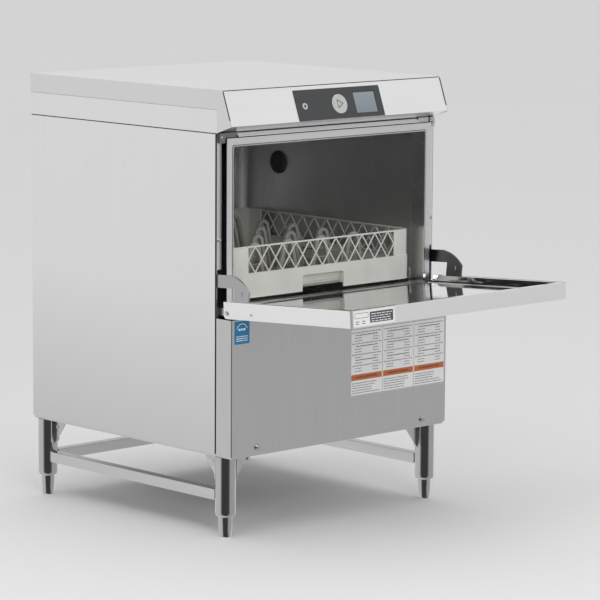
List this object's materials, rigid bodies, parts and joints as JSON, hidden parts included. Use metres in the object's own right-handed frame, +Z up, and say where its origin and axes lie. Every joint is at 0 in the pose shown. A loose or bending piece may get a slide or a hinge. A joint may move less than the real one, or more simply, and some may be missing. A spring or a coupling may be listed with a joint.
{
  "type": "undercounter commercial dishwasher",
  "caption": "Undercounter commercial dishwasher on a leg stand, with a drop-down door, a sliding dish rack, a sloped control fascia, turning wash arms and screw feet.",
  "frame": {"origin": "centre of the object's bounding box on the floor, with the door open as it stands at rest", "axes": "+Z up, -Y out of the door side, +X to the right when facing the door"},
  "size_m": [0.608, 0.991, 0.893],
  "materials": {
    "light_steel": "fine brushed, bright",
    "brushed_steel": "brushed, satin",
    "plain_steel": "satin",
    "tub_steel": "rolled, half bright, worn",
    "mirror_steel": "polished like a mirror",
    "leg_steel": "polished tube",
    "heater_metal": "heat tinted",
    "brass": "satin",
    "black_plastic": "matte",
    "grey_plastic": "matte",
    "button_plastic": "satin",
    "rack_plastic": "moulded, slightly shiny",
    "black_rubber": "matte",
    "motor_paint": "satin paint",
    "display": "glossy, unlit screen"
  },
  "bodies": {
    "machine": {"hood_cover": "light_steel", "fascia_panel": "light_steel", "control_bezel": "black_plastic", "display_window": "display", "control_box": "grey_plastic", "side_panel_right": "brushed_steel", "side_panel_left": "brushed_steel", "rear_panel": "brushed_steel", "lower_front_panel": "brushed_steel", "base_pan": "plain_steel", "top_rail": "light_steel", "latch_right": "plain_steel", "latch_left": "plain_steel", "wash_tub": "tub_steel", "tub_front": "light_steel", "wall_fitting": "black_rubber", "rack_guide_right": "plain_steel", "rack_guide_left": "plain_steel", "strainer": "plain_steel", "tank_heater": "heater_metal", "lower_spindle": "plain_steel", "upper_spindle": "plain_steel", "pump_volute": "grey_plastic", "pump_motor": "motor_paint", "suction_hose": "black_rubber", "wash_pipe": "plain_steel", "booster_tank": "plain_steel", "drain_pump": "grey_plastic", "water_inlet": "brass", "drain_outlet": "grey_plastic", "cable_gland": "black_rubber", "hinge_bracket_right": "plain_steel", "hinge_bracket_left": "plain_steel", "hinge_pin_right": "plain_steel", "hinge_pin_left": "plain_steel", "base_frame": "brushed_steel", "leg_front_left": "leg_steel", "leg_back_left": "leg_steel", "leg_front_right": "leg_steel", "leg_back_right": "leg_steel", "brace_left": "light_steel", "brace_right": "light_steel", "brace_rear": "light_steel"},
    "door": {"door_skin": "light_steel", "door_inner_panel": "mirror_steel", "door_arm_right": "plain_steel", "door_arm_left": "plain_steel"},
    "rack": {"dish_rack": "rack_plastic"},
    "start_key": {"start_button": "button_plastic"},
    "power_key": {"power_button": "grey_plastic"},
    "lower_wash": {"lower_wash_arm": "plain_steel"},
    "lower_rinse": {"lower_rinse_arm": "plain_steel"},
    "upper_wash": {"upper_wash_arm": "plain_steel"},
    "upper_rinse": {"upper_rinse_arm": "plain_steel"},
    "impeller": {"pump_impeller": "plain_steel"},
    "foot_fl": {"foot_front_left": "leg_steel"},
    "foot_bl": {"foot_back_left": "leg_steel"},
    "foot_fr": {"foot_front_right": "leg_steel"},
    "foot_br": {"foot_back_right": "leg_steel"}
  },
  "joints": [
    {"name": "door_hinge", "type": "hinge", "parent": "machine", "child": "door", "pos_m": [0, -0.147, 0.455], "axis": [-1, 0, 0], "range_deg": [0, 86.5]},
    {"name": "rack_slide", "type": "slide", "parent": "machine", "child": "rack", "axis": [0, 0.9981, -0.061], "range_m": [-0.374, 0]},
    {"name": "start_press", "type": "slide", "parent": "machine", "child": "start_key", "axis": [0, 0.9373, -0.3485], "range_m": [0, 0.002], "stiffness_N_per_m": 400, "springref_m": -0.002},
    {"name": "power_press", "type": "slide", "parent": "machine", "child": "power_key", "axis": [0, 0.9373, -0.3485], "range_m": [0, 0.0015], "stiffness_N_per_m": 400, "springref_m": -0.002},
    {"name": "lower_wash_spin", "type": "hinge", "parent": "machine", "child": "lower_wash", "pos_m": [0, 0.158, 0.43], "axis": [0, 0, 1], "continuous": true},
    {"name": "lower_rinse_spin", "type": "hinge", "parent": "machine", "child": "lower_rinse", "pos_m": [0, 0.158, 0.45], "axis": [0, 0, 1], "continuous": true},
    {"name": "upper_wash_spin", "type": "hinge", "parent": "machine", "child": "upper_wash", "pos_m": [0, 0.158, 0.77], "axis": [0, 0, 1], "continuous": true},
    {"name": "upper_rinse_spin", "type": "hinge", "parent": "machine", "child": "upper_rinse", "pos_m": [0, 0.158, 0.755], "axis": [0, 0, 1], "continuous": true},
    {"name": "impeller_spin", "type": "hinge", "parent": "machine", "child": "impeller", "pos_m": [0.01, 0.262, 0.262], "axis": [1, 0, 0], "continuous": true},
    {"name": "foot_fl_screw", "type": "slide", "parent": "machine", "child": "foot_fl", "axis": [0, 0, -1], "range_m": [0, 0.02]},
    {"name": "foot_bl_screw", "type": "slide", "parent": "machine", "child": "foot_bl", "axis": [0, 0, -1], "range_m": [0, 0.02]},
    {"name": "foot_fr_screw", "type": "slide", "parent": "machine", "child": "foot_fr", "axis": [0, 0, -1], "range_m": [0, 0.02]},
    {"name": "foot_br_screw", "type": "slide", "parent": "machine", "child": "foot_br", "axis": [0, 0, -1], "range_m": [0, 0.02]}
  ]
}
